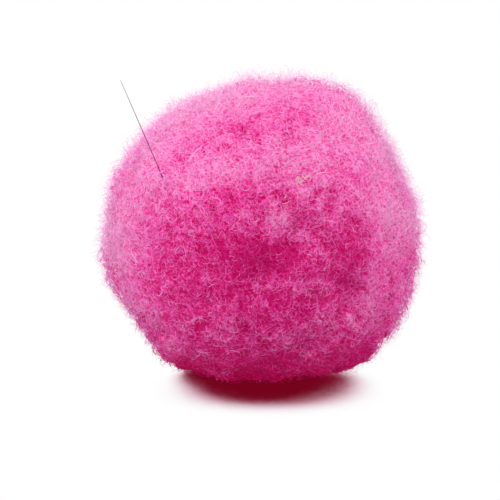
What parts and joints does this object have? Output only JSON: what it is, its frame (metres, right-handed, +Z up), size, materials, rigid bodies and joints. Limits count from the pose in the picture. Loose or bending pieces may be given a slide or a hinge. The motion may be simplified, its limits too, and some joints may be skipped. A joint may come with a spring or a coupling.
{
  "type": "yarn pom pom",
  "caption": "Small round craft pom pom of brushed pink fibre with a dense lumpy pile, a flat spot to rest on and the fine free end of its tie.",
  "frame": {"origin": "on the resting surface, under the middle of the ball", "axes": "+Z up, -Y towards the front of the ball, +X to its right as seen from the front"},
  "size_m": [0.0248, 0.0241, 0.0245],
  "materials": {
    "pile": "matte brushed pile",
    "tie": "smooth fine thread"
  },
  "bodies": {
    "root": {"pompom": "pile", "tie_end": "tie"}
  },
  "joints": []
}
